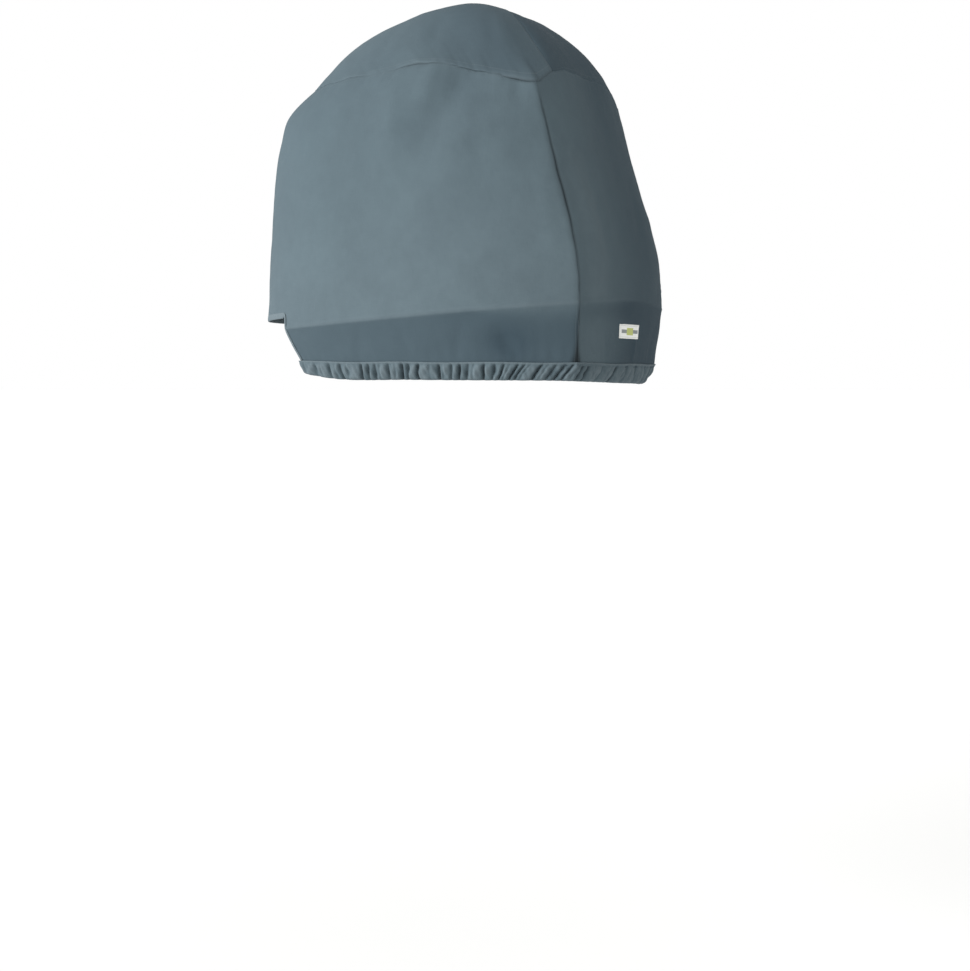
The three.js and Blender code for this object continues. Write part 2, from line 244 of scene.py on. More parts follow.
def throughPoints(xs, zs, steps=120):
    # a centripetal curve through the points, sampled closely, with the length walked along it
    points = np.stack([np.array(xs, float), np.array(zs, float)], axis=1)
    points = np.vstack([2 * points[0] - points[1], points, 2 * points[-1] - points[-2]])
    gap = np.sqrt(np.linalg.norm(np.diff(points, axis=0), axis=1))
    t = np.linspace(0.0, 1.0, steps)[:, None]
    pieces = []
    for i in range(1, len(points) - 2):
        before, here, there, after = points[i - 1 : i + 3]
        straight = (there - here) / gap[i]
        start = (here - before) / gap[i - 1] - (there - before) / (gap[i - 1] + gap[i]) + straight
        end = straight - (after - here) / (gap[i] + gap[i + 1]) + (after - there) / gap[i + 1]
        pieces.append(between(here, there, start, end, gap[i], t))
    line = np.vstack(pieces)
    return line, walkedAlong(line)


def walkedAlong(line):
    return np.concatenate(([0.0], np.cumsum(np.linalg.norm(np.diff(line, axis=0), axis=1))))


crownCurve, crownWalked = throughPoints(crownLine["x"], crownLine["height"])
topRows = yokeStation - topCorner


def crownSeamPlaces(station):
    x, y = planPlaces(reachAt(crownLevel), station)
    return dented(placesAt(x, y, crownSeamHeight(station)))


def topPlaces(across, row):
    # one row of the top panel, across it from -1 at starboard to 1 at port
    front = crownSeamPlaces(topCorner * across)
    ends = crownSeamPlaces(np.array([topCorner + row, -topCorner - row]))
    middle = [np.interp(row / topRows * crownWalked[-1], crownWalked, crownCurve[:, i]) for i in (0, 1)]
    settled = eased(row / crown["edgeRows"])
    cornerPlace, frontMiddle = crownSeamPlaces(np.array([topCorner, 0.0]))
    edgeBow = (front[:, 0] - cornerPlace[0]) / (frontMiddle[0] - cornerPlace[0])
    bow = mix(edgeBow, 1.0 - np.abs(across) ** crown["spread"], settled)
    rise = mix(edgeBow, 1.0 - np.abs(across) ** crown["fullness"], settled)
    end = np.where(across[:, None] > 0.0, ends[0], ends[1])
    frontGap = front[:, 2] - mix(cornerPlace[2], frontMiddle[2], edgeBow)
    x = mix(end[:, 0], middle[0], bow)
    y = -np.abs(end[:, 1]) * mix(front[:, 1] / cornerPlace[1], across, settled)
    z = mix(end[:, 2], middle[1], rise) + frontGap * (1.0 - settled)
    return placesAt(x, y, z)


def yokePlaces(across, share):
    # one row of the yoke, across it from -1 at port to 1 at starboard, from the back panel up
    low = crownSeamPlaces(backMiddle + (backMiddle - yokeStation) * across)
    high = topPlaces(-across, float(topRows))
    bulge = crown["yokeBulge"] * 4.0 * share * (1.0 - share) * (1.0 - across**2)
    return mix(low, high, share) + bulge[:, None] * np.array(crown["yokeWay"])


# Cloth edges: how the cloth turns in at a seam, by the distance from it. Two panels' edges cross a
# little deep in their seam, so that no light comes through.
turned = {
    "inset": [-0.9, 0.0, 0.40, 0.85, 1.6, 2.7, 4.2, 6.2, 8.8, 12.0],
    "depth": [4.2, 2.2, 1.15, 0.45, 0.12, 0.0, 0.0, 0.0, 0.0, 0.0],
}
# and where a panel's end goes on under the next panel's edge instead
lapped = {
    "from": 4.0,
    "past": [-1.6, -0.6, 0.4, 1.6, 3.0, 4.6],
    "depth": [0.0, 0.0, 0.15, 1.1, 2.4, 4.0],
}
clothThickness = 1.6
seamCore = 380.0  # the height towards which the seam allowances above it point


def alongEdge(marks, cell, start, end):
    # places in mm along a side of a panel, one at each mark and more at a turned edge, with depths
    inset, depth = np.array(turned["inset"]), np.array(turned["depth"])
    stops = np.array(marks, float)
    stops[0] += inset[-1] * start
    stops[-1] -= inset[-1] * end
    spots = [stops[:1]]
    for low, high in zip(stops[:-1], stops[1:]):
        spots.append(np.linspace(low, high, max(1, round((high - low) / cell)) + 1)[1:])
    depths = [np.zeros(sum(len(part) for part in spots))]
    if start:
        spots.insert(0, marks[0] + inset[:-1])
        depths.insert(0, depth[:-1])
    if end:
        spots.append(marks[-1] - inset[-2::-1])
        depths.append(depth[-2::-1])
    return np.concatenate(spots), np.concatenate(depths)


def lappedEdge(marks, cell, start):
    # the same for a panel whose end goes on under the next one
    beyond = np.array(lapped["past"])
    spots, depths = alongEdge([*marks[:-1], marks[-1] - lapped["from"]], cell, start, False)
    return np.concatenate((spots, marks[-1] + beyond)), np.concatenate((depths, lapped["depth"]))


def net(us, vs):
    # values along both sides of a piece, as a row and a column
    return us[None, :], vs[:, None]


def outwardsOf(places, us, vs):
    normal = np.cross(np.gradient(places, us.ravel(), axis=1), np.gradient(places, vs.ravel(), axis=0))
    return normal / np.maximum(np.linalg.norm(normal, axis=2, keepdims=True), 1e-9)


def inwardsOf(places):
    core = np.zeros_like(places)
    core[..., 2] = np.minimum(places[..., 2], seamCore)
    return unitWay(core - places)


def waves(places, size, seed, count=14):
    # a smooth unevenness of about unit height, with features of the given size in mm
    chance = np.random.default_rng(seed)
    total = np.zeros(places.shape[:-1])
    for _ in range(count):
        way = chance.normal(size=3)
        way *= 2 * math.pi / (size * chance.uniform(0.7, 1.6)) / np.linalg.norm(way)
        total += np.sin(places @ way + chance.uniform(0, 2 * math.pi))
    return total / math.sqrt(count / 2)


# Folds: troughs of the cloth along lines, and ridges where the depth is negative. They are placed by
# x and height on the sides, at port (-1) and starboard, by y and height on the back, by x and y on top.
sideFolds = {
    -1: table(
        "start end width depth",
        ((134, 598), (92, 520), 26, 3.8),
        ((92, 520), (48, 440), 30, 2.8),
        ((64, 600), (36, 530), 20, -3.0),
        ((-16, 520), (-30, 450), 24, -2.2),
        ((180, 590), (176, 530), 14, -1.6),
        ((216, 584), (222, 520), 15, 2.8),
        ((-60, 582), (-30, 520), 26, -1.2),
        ((150, 470), (170, 380), 34, 2.0),
        ((-120, 360), (-60, 240), 44, 2.0),
        ((-200, 570), (-170, 470), 28, 1.4),
        ((225, 46), (205, 92), 14, 2.8),
        ((120, 46), (135, 104), 13, 1.4),
        ((20, 46), (8, 96), 12, 1.1),
        ((-90, 46), (-80, 96), 14, 1.3),
        ((272, 416), (305, 226), 16, -1.2),
    ),
    1: table(
        "start end width depth",
        ((50, 590), (-10, 410), 26, 2.6),
        ((-150, 572), (-180, 456), 28, 1.8),
        ((180, 566), (200, 466), 20, 2.0),
        ((262, 540), (278, 450), 42, -4.5),
        ((100, 46), (90, 98), 15, 1.8),
        ((-120, 46), (-135, 106), 17, 1.5),
    ),
}
backFolds = table(
    "start end width depth",
    ((-150, 400), (-146, 170), 24, -4.0),
    ((-108, 380), (-100, 190), 24, 2.0),
    ((-60, 396), (-30, 226), 30, 1.8),
    ((90, 416), (60, 266), 26, 1.6),
    ((182, 545), (186, 440), 42, -4.5),
    ((28, 34), (22, 86), 8, -2.4),
    ((-100, 34), (-108, 76), 11, 1.6),
    ((120, 34), (128, 81), 11, 1.6),
)
topFolds = table(
    "start end width depth",
    ((-150, -40), (60, -90), 30, 1.4),
    ((20, 60), (90, 10), 26, -1.2),
    ((40, -214), (20, -150), 16, 1.8),
    ((160, -190), (120, -130), 14, 1.6),
    ((-80, -206), (-70, -150), 18, 1.4),
    ((-120, 200), (-90, 130), 18, 1.4),
    ((90, 206), (70, 140), 16, 1.6),
)
unevenness = table("size height seed", (170.0, 0.9, 3), (62.0, 0.28, 8), (24.0, 0.07, 15))


def foldRelief(flat, folds):
    total = np.zeros(flat.shape[:-1])
    for fold in folds:
        start, end = np.array(fold["start"], float), np.array(fold["end"], float)
        line = end - start
        share = unit((flat - start) @ line / (line @ line))
        far = np.linalg.norm(flat - start - share[..., None] * line, axis=-1)
        strength = 0.35 + 0.65 * np.sin(math.pi * (share * 0.85 + 0.075))  # less at both ends
        total -= fold["depth"] * strength * bell(far, fold["width"])
    return total


def sideRelief(places):
    flat, sides = places[..., [0, 2]], np.sign(places[..., 1])
    return sum(foldRelief(flat, folds) * (sides == side) for side, folds in sideFolds.items())


def unevenRelief(places):
    return sum(item["height"] * waves(places, item["size"], item["seed"]) for item in unevenness)


def puckers(along, away, pitch=17.0, reach=16.0, height=0.34, phase=0.0):
    # short waves that the stitching draws into the cloth beside a seam
    beat = 0.6 + 0.4 * np.sin(along / 83.0 + phase) * np.sin(along / 37.0 + 2.0 * phase)
    wave = np.sin(2 * math.pi * along / pitch + 1.4 * np.sin(along / 29.0 + phase))
    return height * beat * wave * np.exp(-away / reach)


def hemPuckers(us, vs, phase):
    fromHem = vs + bandLength
    drawn = puckers(us, np.maximum(fromHem, 0.0), pitch=21.0, reach=20.0, height=0.7, phase=phase)
    return drawn * unit(fromHem / 8.0)


def edgeStep(away, rise, reach=8.0):
    return rise * bell(away, reach)


def newObject(name, mesh):
    made = bpy.data.objects.new(name, mesh)
    bpy.context.scene.collection.objects.link(made)
    return made


def gridMesh(name, places, us, vs, marks):
    # a net of quads over a table of places, with its pattern in metres and named marks at its points
    rows, columns = places.shape[:2]
    bm = bmesh.new()
    bmesh.ops.create_grid(bm, x_segments=columns - 1, y_segments=rows - 1, size=1.0)
    mesh = bpy.data.meshes.new(name)
    bm.to_mesh(mesh)
    bm.free()
    placed = (places - np.array([0.0, 0.0, crownHeight])) * milli
    mesh.vertices.foreach_set("co", placed.astype(np.float32).ravel())
    pattern = placesAt(us, vs, 0.0)[..., :2].reshape(-1, 2) * milli
    corner = np.zeros(len(mesh.loops), dtype=np.int32)
    mesh.loops.foreach_get("vertex_index", corner)
    mesh.uv_layers.new(name="pattern").data.foreach_set("uv", pattern[corner].astype(np.float32).ravel())
    for mark, values in marks.items():
        attribute = mesh.attributes.new(mark, "FLOAT", "POINT")
        spread = np.broadcast_to(values, (rows, columns)).astype(np.float32)
        attribute.data.foreach_set("value", spread.ravel())
    mesh.polygons.foreach_set("use_smooth", np.ones(len(mesh.polygons), dtype=bool))
    mesh.update()
    return mesh


def cutAway(mesh, isCut):
    # deletes the faces whose mean place in the pattern passes the test
    bm = bmesh.new()
    bm.from_mesh(mesh)
    layer = bm.loops.layers.uv["pattern"]
    gone = []
    for face in bm.faces:
        u, v = (sum(loop[layer].uv[i] for loop in face.loops) / len(face.loops) for i in (0, 1))
        if isCut(u / milli, v / milli):
            gone.append(face)
    bmesh.ops.delete(bm, geom=gone, context="FACES")
    bm.to_mesh(mesh)
    bm.free()


def dress(node, mesh, thickness, slot, **sheet):
    # a piece of cloth in place of its node
    piece = newObject(node + "_cloth", mesh)
    modifier = piece.modifiers.new("thickness", "SOLIDIFY")
    modifier.thickness = thickness * milli
    modifier.offset = -1.0
    piece.data.materials.append(materials[slot])
    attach(piece, body)
    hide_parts(node)
    print("made", piece.name, len(mesh.polygons), "faces")


# Shader helper: one socket, so that shader maths reads as plain sums
class Wire:
    def __init__(self, tree, socket=None):
        self.tree = tree
        self.socket = socket

    def make(self, kind, settings=None, values=None, out=0):
        node = self.tree.nodes.new(kind)
        for name, value in (settings or {}).items():
            setattr(node, name, value)
        for name, value in (values or {}).items():
            if isinstance(value, Wire):
                self.tree.links.new(value.socket, node.inputs[name])
            else:
                node.inputs[name].default_value = value
        return Wire(self.tree, node.outputs[out])

    def maths(self, operation, left, right=0.0):
        return self.make("ShaderNodeMath", {"operation": operation}, {0: left, 1: right})

    def __add__(self, other):
        return self.maths("ADD", self, other)

    def __sub__(self, other):
        return self.maths("SUBTRACT", self, other)

    def __rsub__(self, other):
        return self.maths("SUBTRACT", other, self)

    def __mul__(self, other):
        return self.maths("MULTIPLY", self, other)

    def __abs__(self):
        return self.maths("ABSOLUTE", self)

    __radd__ = __add__
    __rmul__ = __mul__

    def sine(self):
        return self.maths("SINE", self)

    def below(self, limit):
        return self.maths("LESS_THAN", self, limit)

    def above(self, limit):
        return self.maths("GREATER_THAN", self, limit)

    def clamp(self):
        return self.maths("MINIMUM", self.maths("MAXIMUM", self, 0.0), 1.0)

    def to(self, surface, name):
        self.tree.links.new(self.socket, surface.inputs[name])


def mixColour(wire, factor, first, second):
    # sockets 6 and 7 of the node are its two colours
    values = {"Factor": factor, 6: first, 7: second}
    return wire.make("ShaderNodeMix", {"data_type": "RGBA"}, values, out=2)


def markOf(wire, name):
    return wire.make("ShaderNodeAttribute", {"attribute_name": name}, out=2)


def noiseOf(wire, vector, grain):
    return wire.make("ShaderNodeTexNoise", None, {"Vector": vector, **grain})


def patternOf(wire):
    pattern = wire.make("ShaderNodeUVMap", {"uv_map": "pattern"})
    u = wire.make("ShaderNodeSeparateXYZ", None, {0: pattern})
    return pattern, u, Wire(wire.tree, u.socket.node.outputs[1])


def newMaterial(name, uniform):
    material = bpy.data.materials.new(name)
    material.use_nodes = True
    surface = material.node_tree.nodes["Principled BSDF"]
    for socket, value in uniform.items():
        surface.inputs[socket].default_value = value
    return material, Wire(material.node_tree), surface


def rgba(colour, shade=1.0):
    return tuple(c * shade for c in colour) + (1.0,)


stitchInset = 5.0  # mm from an edge to its row of stitches
canvasLook = {
    "light": (0.084, 0.117, 0.133),
    "dark": (0.062, 0.085, 0.099),
    # painted shade for seams, slits and other recesses
    "groove": (0.020, 0.026, 0.030),
    # lighter: real wear, and painted highlights on creases, edges and crests
    "wearAndHighlight": (0.122, 0.152, 0.168),
    "thread": (0.098, 0.126, 0.140),
    # darker: painted shade
    "paintedShade": (0.036, 0.055, 0.069),
    "threadPitch": 0.95 * milli,
    "weaveDepth": 0.16 * milli,
    "clouds": {"Scale": 4.2, "Detail": 3.0, "Roughness": 0.55},
    "mottle": {"Scale": 46.0, "Detail": 5.0, "Roughness": 0.65},
    "slubs": {"Scale": 1.0, "Detail": 2.0},
    "slubScales": ((45.0, 1050.0, 1.0), (1050.0, 45.0, 1.0)),
    "roughness": 0.80,
    "stitch": {"width": 0.45 * milli, "pitch": 3.4 * milli, "gap": 0.45, "tone": 0.45},
    "uniform": {"Sheen Weight": 0.01, "Sheen Roughness": 0.55, "Specular IOR Level": 0.06},
}


def makeCanvas(name, shade=1.0):
    look = canvasLook
    material, wire, surface = newMaterial(name, look["uniform"])
    pattern, u, v = patternOf(wire)
    place = wire.make("ShaderNodeTexCoord", out=3)
    turn = 2.0 * math.pi / look["threadPitch"]
    across, along = (u * turn).sine(), (v * turn).sine()
    weave = across * along * 0.5 + abs(across) * 0.25 + abs(along) * 0.25
    clouds = noiseOf(wire, place, look["clouds"])
    mottle = noiseOf(wire, place, look["mottle"])
    slubs = 0.0
    for scale in look["slubScales"]:
        threads = wire.make("ShaderNodeMapping", None, {"Vector": pattern, "Scale": scale})
        slubs = slubs + noiseOf(wire, threads, look["slubs"])
    share = (clouds * 1.5 + mottle * 0.55 + slubs * 0.45 + weave * 0.3 - 1.0).clamp()
    colour = mixColour(wire, share, rgba(look["dark"], shade), rgba(look["light"], shade))
    # painted shade, broken up by the clouds
    paintedShade = (markOf(wire, "paintedShade") * (0.6 + clouds * 0.8)).clamp()
    colour = mixColour(wire, paintedShade, colour, rgba(look["paintedShade"], shade))
    # real wear and painted highlights
    wearAndHighlight = (markOf(wire, "wearAndHighlight") * (0.35 + mottle * 0.7)).clamp()
    colour = mixColour(wire, wearAndHighlight, colour, rgba(look["wearAndHighlight"], shade))
    # painted shade in the seams and slits
    colour = mixColour(wire, markOf(wire, "groove"), colour, rgba(look["groove"]))
    height = weave + slubs * 0.35
    stitch = look["stitch"]
    for away, alongSeam in (("fromSide", v), ("fromEnd", u)):
        onLine = abs(markOf(wire, away) * milli - stitchInset * milli).below(stitch["width"])
        dash = abs((alongSeam * (math.pi / stitch["pitch"])).sine())
        seen = onLine * dash.above(stitch["gap"])
        colour = mixColour(wire, seen * stitch["tone"], colour, rgba(look["thread"], shade))
        height = height + seen * dash * 3.0 - onLine * (1.0 - seen) * 1.2
    colour.to(surface, "Base Color")
    (look["roughness"] + (mottle - 0.5) * 0.14).to(surface, "Roughness")
    bump = {"Strength": 0.55, "Distance": look["weaveDepth"], "Height": height}
    wire.make("ShaderNodeBump", None, bump).to(surface, "Normal")
    return material


labelLook = {
    "field": (0.74, 0.75, 0.72),
    "green": (0.40, 0.44, 0.12),
    "greenHalfWidth": 15.5,
    "greenHalfHeight": 7.0,
    "bar": (0.20, 0.22, 0.22),
    "barHalfWidth": 37.0,
    "barHalfHeight": 3.5,
    "border": (0.50, 0.52, 0.50),
    "halfWidth": 45.0,
    "halfHeight": 13.8,
    "stitch": {"inset": 3.0, "width": 0.5, "pitch": 2.4, "gap": 0.35},
    "threadPitch": 0.5,
    "uniform": {"Sheen Weight": 0.1, "Specular IOR Level": 0.35},
}


def makeLabel():
    # plain stripes in a stitched border
    look = labelLook
    material, wire, surface = newMaterial("wovenLabel", look["uniform"])
    pattern, u, v = patternOf(wire)
    u, v = u * (1.0 / milli), v * (1.0 / milli)
    bar = abs(v).below(look["barHalfHeight"]) * abs(u).below(look["barHalfWidth"])
    colour = mixColour(wire, bar, rgba(look["field"]), rgba(look["bar"]))
    middle = abs(v).below(look["greenHalfHeight"]) * abs(u).below(look["greenHalfWidth"])
    colour = mixColour(wire, middle, colour, rgba(look["green"]))
    stitch = look["stitch"]
    edgeU = abs(u) - (look["halfWidth"] - stitch["inset"])
    edgeV = abs(v) - (look["halfHeight"] - stitch["inset"])
    onLine = abs(wire.maths("MAXIMUM", edgeU, edgeV)).below(stitch["width"])
    seen = onLine * abs(((u + v) * (math.pi / stitch["pitch"])).sine()).above(stitch["gap"])
    colour = mixColour(wire, seen, colour, rgba(look["border"]))
    turn = 2.0 * math.pi / look["threadPitch"]
    weave = (u * turn).sine() * (v * turn).sine()
    colour.to(surface, "Base Color")
    (0.62 + weave * 0.06).to(surface, "Roughness")
    bump = {"Strength": 0.4, "Distance": 0.1 * milli, "Height": weave * 0.5 + seen * 3.0}
    wire.make("ShaderNodeBump", None, bump).to(surface, "Normal")
    return material


# one for each slot
materials = {
    "canvas": makeCanvas("canvas"),
    "canvas_trim": makeCanvas("canvasTrim", shade=0.94),
    "label": makeLabel(),
}
print("materials made")


# Panels
seams = {
    # the shade in a seam, by how deep the cloth turns in
    "upright": {"tone": 0.7, "from": 0.8, "over": 2.4},
    "cap": {"tone": 0.3, "from": 0.3, "over": 1.5},
    "calmsOver": 6.0,
    # how plainly an upright seam shows, by its height above the belt
    "rise": [-96.0, -80.0, -20.0, 60.0, 180.0, 330.0, 400.0, 440.0, 460.0],
    "show": [1.0, 0.7, 0.5, 0.6, 1.0, 1.0, 0.75, 0.3, 0.2],
    # painted shade beside the upright seams, which spreads at their foot
    "seamShade": 0.75,
    "seamShadeReach": 3.4,
    "footHeight": 24.0,
    "footSpread": 1.6,
    "footShade": 0.9,
}
# the seam round the cap lies flat, but stands open a little at its lips
capSeam = {
    "calm": 0.16,
    "open": 0.34,
    "depth": 0.5,
    # the painted shade under the lips
    "seamShade": 0.24,
    "mostSeamShade": 0.7,
    "seamShadeReach": 3.5,
    "lips": table(
        "side x reach rise",
        (-1, 26, 44, 2.4),
        (-1, 220, 52, 2.8),
        (-1, -130, 50, 0.9),
        (1, 60, 40, 1.8),
        (1, 200, 30, 1.0),
    ),
}


def capLips(x, side):
    # how far the seam round the cap stands open at places along it
    lips = capSeam["lips"]
    return sum(lip["rise"] * bell(x - lip["x"], lip["reach"]) * (side == lip["side"]) for lip in lips)


def capDepth(depth, x, side):
    shown = unit(capSeam["calm"] + capSeam["open"] * capLips(x, side))
    return depth * capSeam["depth"] * shown


def lipShade(places, fromTop, side):
    # the shade under the lips
    shade = np.clip(capSeam["seamShade"] * capLips(places[..., 0], side), 0.0, capSeam["mostSeamShade"])
    return shade * bell(fromTop, capSeam["seamShadeReach"])


def seamShow(vs):
    return np.interp(vs, seams["rise"], seams["show"])


# painted shade beside the upright seams, wider and stronger at their foot
def wallSeamShade(fromSide, vs):
    foot = np.exp(-np.maximum(vs + bandLength, 0.0) / seams["footHeight"])
    reach = seams["seamShadeReach"] * (1.0 + seams["footSpread"] * foot)
    strength = seams["seamShade"] * seamShow(vs) + seams["footShade"] * foot
    return strength * bell(fromSide, reach)


def toneBy(depth, look):
    return look["tone"] * unit((depth - look["from"]) / look["over"])


def makePanel(node, places, us, vs, relief, upright, cap, marks, sheet, isCut=None):
    # upright and cap say how deep the cloth turns in at its upright seams and at those of the cap
    depth = np.maximum(upright, cap)[..., None]
    lift = (relief + clothThickness / 2)[..., None] * np.exp(-depth / seams["calmsOver"])
    shaped = places + outwardsOf(places, us, vs) * lift + inwardsOf(places) * depth
    # painted shade in and beside the seams
    groove = np.maximum(toneBy(upright, seams["upright"]), toneBy(cap, seams["cap"]))
    marks["groove"] = np.maximum(groove, marks.pop("seamShade", 0.0))
    mesh = gridMesh(node, shaped, us, vs, marks)
    if isCut:
        cutAway(mesh, isCut)
    dress(node, mesh, clothThickness, "canvas", held="stretched", **sheet)


walls = {
    "cell": 4.6,
    "topSink": -0.25,
    "seamSink": -2.4,
    "seamReach": 6.0,
    "sidePuckers": 0.14,
    "beltRidge": 0.9,
    "beltReach": 2.5,
    # the band below the belt turns in, faces down and carries painted shade
    "bandEdge": 1.5,  # how sharp the upper edge of the darker tone below the belt is
}
# painted shade over the hollows of the cloth, at given places
hollowShades = table(
    "side x z reach strength",
    (-1, 222, 66, 34, 0.35),
    (-1, 112, 560, 46, 0.14),
    (-1, 20, 480, 40, 0.12),
    (1, 60, 80, 60, 0.2),
)


def beltMark(vs, strength):
    return strength * np.exp(-np.abs(vs) / walls["beltReach"])


# painted shade below the belt, with a soft upper edge
def bandShade(vs, strength, softness=walls["bandEdge"]):
    # a softer edge also lies a little lower
    below = vs + 2.0 * (softness - walls["bandEdge"])
    return strength / (1.0 + np.exp(np.clip(below / softness, -50.0, 50.0)))


def hollowShading(places):
    total = np.zeros(places.shape[:-1])
    for patch in hollowShades:
        far = np.hypot(places[..., 0] - patch["x"], places[..., 2] - patch["z"])
        onSide = np.sign(places[..., 1]) == patch["side"]
        total += patch["strength"] * bell(far, patch["reach"]) * onSide
    return total


def makeWall(name, us, vs, places, folds, fromSide, depths, phases, marks, sheet, isCut=None):
    # a panel of the walls, whose seams and rows of stitches draw the cloth in
    fromTop = np.abs(wallLength - vs)
    atHem, atTop, atSides = phases
    relief = folds + unevenRelief(places) + hemPuckers(us, vs, atHem)
    relief += edgeStep(fromTop, walls["topSink"])
    relief += edgeStep(fromSide, walls["seamSink"], walls["seamReach"]) * seamShow(vs)
    relief += puckers(us, fromTop, phase=atTop)
    relief += puckers(vs, fromSide, height=walls["sidePuckers"], phase=atSides)
    relief += beltMark(vs, walls["beltRidge"])
    marks["seamShade"] = np.maximum(wallSeamShade(fromSide, vs), marks.get("seamShade", 0.0))
    marks.update({"fromSide": fromSide, "fromEnd": fromTop})
    makePanel(name, places, us, vs, relief, depths[0] * seamShow(vs), depths[1], marks, sheet, isCut)


# The side panels. Shares count along a panel, from the bow aft, or up to the crown from the belt.
sidePanel = {
    # painted highlights along the belt's crease and on the lower wall
    "beltHighlight": 0.45,
    "lowHighlight": 0.2,
    "lowShare": 0.5,
    "topWear": 0.1,
    "topReach": 3.0,
    # painted shade below the belt and on the upper walls, which lean in
    "bandShade": 0.37,
    "bandAlong": (1.0, 2.15),
    "upperShade": 0.22,
    "upperPower": 1.3,
    "upperAlong": (1.2, 0.3),
    # darker towards the bow
    "bowDarkening": 0.16,
    "bowShare": 0.6,
    # the upper edge of the band's painted shade is softer towards the stern
    "softest": 9.0,
    "softFrom": 0.78,
    "softOver": 0.16,
    "sheet": {"flat": (0.82, 0.60), "area": 0.46},
}


def makeSidePanel(name, side):
    # side is 1 at port and -1 at starboard
    notchEdge, length = notchStation * sidePitch, aftSeam * sidePitch
    fromFront, depthU = alongEdge([0.0, notchEdge, length], walls["cell"], True, True)
    heights = [-bandLength - hemOverlap, 0.0, notch["lift"], wallLength]
    vs, depthV = lappedEdge(heights, walls["cell"], False)
    us, station = fromFront, fromFront / sidePitch
    if side < 0:
        fromFront, depthU = fromFront[::-1], depthU[::-1]
        us, station = length - fromFront, allStations - fromFront / sidePitch
    places = np.array([wallPlaces(station, v) for v in vs])
    us, vs = net(us, vs)
    fromSide, fromTop = np.minimum(fromFront, length - fromFront)[None, :], np.abs(wallLength - vs)
    look = sidePanel
    along, up = fromFront / length, unit(vs / wallLength)
    # painted light: a lighter lower wall and a highlight along the belt's crease
    lowHighlight = look["lowHighlight"] * (vs > 0.0) * bell(up, look["lowShare"])
    topWear = look["topWear"] * np.exp(-fromTop / look["topReach"])
    # painted shade below the belt and on the upper walls
    softening = unit((along - look["softFrom"]) / look["softOver"])
    softness = mix(walls["bandEdge"], look["softest"], softening)
    paintedShade = bandShade(vs, look["bandShade"], softness) * mix(*look["bandAlong"], along)
    paintedShade = paintedShade + look["upperShade"] * up ** look["upperPower"] * mix(*look["upperAlong"], along)
    marks = {
        "wearAndHighlight": beltMark(vs, look["beltHighlight"]) + lowHighlight + topWear,
        "paintedShade": paintedShade + (hollowShading(places) + look["bowDarkening"] * unit(1.0 - along / look["bowShare"])),
        "seamShade": lipShade(places, fromTop, -side),
    }

    def isCut(u, v):
        return (u if side > 0 else length - u) < notchEdge and v < notch["lift"]

    folds, depths, phases = sideRelief(places), net(depthU, depthV), (1.0 + side, side, 2.0 + side)
    makeWall(name, us, vs, places, folds, fromSide, depths, phases, marks, look["sheet"], isCut)


makeSidePanel("side_panel_port", 1)
makeSidePanel("side_panel_starboard", -1)

backPanel = {
    "stationWidth": 26.0,
    # a painted highlight along the belt's crease
    "beltHighlight": 0.15,
    # its middle is darker with painted shade, which comes nearer to the starboard seam, so many times
    "middleShade": 0.72,
    "lowShade": 0.5,
    "shadeFrom": 20.0,
    "shadeOver": 270.0,
    "starboardTimes": 9.0,
    # painted shade just under the belt
    "shadeUnderBelt": {"paintedShade": 0.3, "depth": 16.0, "reach": 15.0},
    # a paler strip beside the port seam, a painted highlight, by its height above the belt
    "pale": {
        "middle": 50.0,
        "reach": 38.0,
        "rise": [-60.0, -5.0, 10.0, 90.0, 260.0, 330.0],
        "highlight": [0.12, 0.0, 0.34, 0.22, 0.2, 0.0],
    },
    "phases": (6.0, 4.0, 5.0),
    "sheet": {"flat": (0.43, 0.56), "area": 0.229},
}


def makeBackPanel():
    look = backPanel
    first, last = aftSeam, allStations - aftSeam
    width = (last - first) * look["stationWidth"]
    us, depthU = alongEdge([0.0, width], walls["cell"], True, True)
    vs, depthV = lappedEdge([-bandLength - hemOverlap, 0.0, wallLength], walls["cell"], False)
    places = np.array([wallPlaces(first + us / look["stationWidth"], v) for v in vs])
    us, vs = net(us, vs)
    pale = look["pale"]
    paler = bell(us - pale["middle"], pale["reach"]) * np.interp(vs, pale["rise"], pale["highlight"])
    fromSeams = np.minimum(us, look["starboardTimes"] * (width - us))
    middle = eased((fromSeams - look["shadeFrom"]) / look["shadeOver"])
    middleShade = (look["middleShade"] + bandShade(vs, look["lowShade"])) * middle
    under = look["shadeUnderBelt"]
    shadeUnderBelt = under["paintedShade"] * bell(vs + under["depth"], under["reach"]) * (vs < 0.0)
    # painted highlights on the belt and beside the port seam, painted shade in the middle and under the
    # belt
    marks = {"wearAndHighlight": beltMark(vs, look["beltHighlight"]) + paler, "paintedShade": middleShade + shadeUnderBelt}
    folds, fromSide = foldRelief(places[..., [1, 2]], backFolds), np.minimum(us, width - us)
    depths, phases = net(depthU, depthV), look["phases"]
    makeWall("back_panel", us, vs, places, folds, fromSide, depths, phases, marks, look["sheet"])


makeBackPanel()

topPanel = {
    "cell": 4.6,
    "halfWidth": 250.0,
    "rowLength": 30.0,
    "blur": {"reach": 34.0, "edge": 40.0, "side": 30.0},
    "edgeRise": 0.1,
    "lipReach": 14.0,
    "rubbed": {"least": 0.08, "byLip": 0.12, "most": 0.45, "reach": 3.0},
    # painted shade all over the top
    "paintedShade": 0.18,
    # more painted shade abaft the crown, by the share of the way to the yoke
    "aft": [0.0, 0.50, 0.66, 0.82, 0.97],
    "aftShade": [0.0, 0.04, 0.26, 0.42, 0.15],
    "phases": (7.0, 8.0),
    "sheet": {"flat": (0.60, 0.54), "area": 0.273},
}


